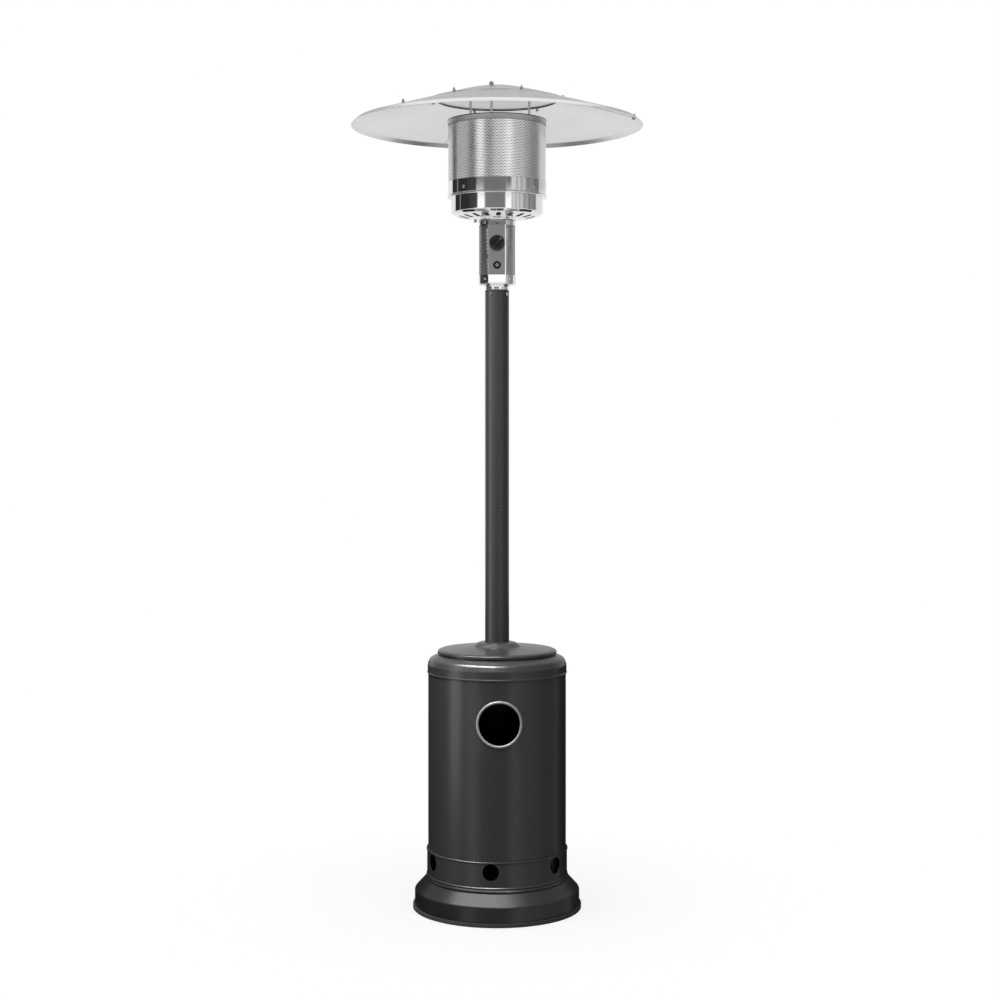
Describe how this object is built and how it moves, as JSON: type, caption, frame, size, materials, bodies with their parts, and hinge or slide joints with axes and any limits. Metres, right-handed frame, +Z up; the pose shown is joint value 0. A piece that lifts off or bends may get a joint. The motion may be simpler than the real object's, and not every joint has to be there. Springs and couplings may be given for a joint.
{
  "type": "gas patio heater",
  "caption": "Free-standing mushroom gas patio heater: round base and bottle housing, post, burner head with perforated emitter and wide domed reflector.",
  "frame": {"origin": "on the floor under the middle of the post", "axes": "+Z up, the control panel and the hand hole face -Y"},
  "size_m": [0.7996, 0.7996, 2.247],
  "materials": {
    "black_coat": "semi-gloss powder coat",
    "edge_trim": "matt moulded edge guard",
    "rim_grey": "satin grey lacquer on a rolled ring",
    "black_screws": "black plated",
    "polished_steel": "mirror-polished stainless steel",
    "stainless": "plain stainless sheet, perforated where it is a screen",
    "zinc_steel": "zinc plated",
    "reflector_aluminium": "satin sheet aluminium",
    "black_plastic": "moulded",
    "grey_button": "moulded",
    "brass": "machined",
    "lead_rubber": "silicone insulation",
    "white_ceramic": "glazed ceramic"
  },
  "bodies": {
    "stand": {"base_pan": "black_coat", "vent_band": "black_coat", "lower_post": "black_coat", "upper_post": "black_coat", "post_carrier_plate": "black_coat", "support_leg_1": "black_coat", "support_leg_2": "black_coat", "support_leg_3": "black_coat", "base_edge_trim": "edge_trim", "post_joint_screws": "black_screws", "head_neck": "polished_steel", "lower_collar": "polished_steel", "upper_collar": "polished_steel", "burner_bowl": "polished_steel", "upper_ring": "polished_steel", "front_panel": "polished_steel", "collar_screws": "polished_steel", "emitter_screen": "stainless", "emitter_cap": "stainless", "mesh_cover": "stainless", "burner_deck": "stainless", "burner_head": "stainless", "mixing_tube": "stainless", "pilot_burner": "stainless", "pilot_bracket": "stainless", "thermocouple": "stainless", "injector_bracket": "stainless", "post_top_screws": "zinc_steel", "leg_fasteners": "zinc_steel", "post_fasteners": "zinc_steel", "post_sleeve": "zinc_steel", "burner_screws": "zinc_steel", "reflector_fasteners": "zinc_steel", "reflector_studs": "zinc_steel", "tilt_switch_bracket": "zinc_steel", "igniter_nut": "zinc_steel", "safety_magnet": "zinc_steel", "reflector_crown": "reflector_aluminium", "reflector_panel_1": "reflector_aluminium", "reflector_panel_2": "reflector_aluminium", "reflector_panel_3": "reflector_aluminium", "feed_pipe": "reflector_aluminium", "pilot_pipe": "reflector_aluminium", "gas_valve": "reflector_aluminium", "igniter_bezel": "black_plastic", "tilt_switch": "black_plastic", "igniter_body": "black_plastic", "gas_inlet_fitting": "brass", "injector": "brass", "ignition_lead": "lead_rubber", "spark_electrode": "white_ceramic"},
    "housing": {"tank_housing": "black_coat", "housing_front": "black_coat", "hand_hole_ring": "rim_grey", "housing_lid": "black_coat", "lid_screws": "black_screws"},
    "valve_plug": {"valve_plug": "brass"},
    "knob": {"control_knob": "black_plastic", "valve_spindle": "zinc_steel"},
    "igniter_button": {"igniter_button": "grey_button"}
  },
  "joints": [
    {"name": "housing_lift", "type": "slide", "parent": "stand", "child": "housing", "axis": [0, 0, 1], "range_m": [0, 0.6]},
    {"name": "knob_turn", "type": "hinge", "parent": "stand", "child": "valve_plug", "pos_m": [0, -0.03, 1.814], "axis": [0, -1, 0], "range_deg": [0, 180]},
    {"name": "knob_press", "type": "slide", "parent": "valve_plug", "child": "knob", "axis": [0, 1, 0], "range_m": [0, 0.005], "stiffness_N_per_m": 800, "springref_m": -0.004},
    {"name": "igniter_press", "type": "slide", "parent": "stand", "child": "igniter_button", "axis": [0, 1, 0], "range_m": [0, 0.006], "stiffness_N_per_m": 1200, "springref_m": -0.004}
  ]
}
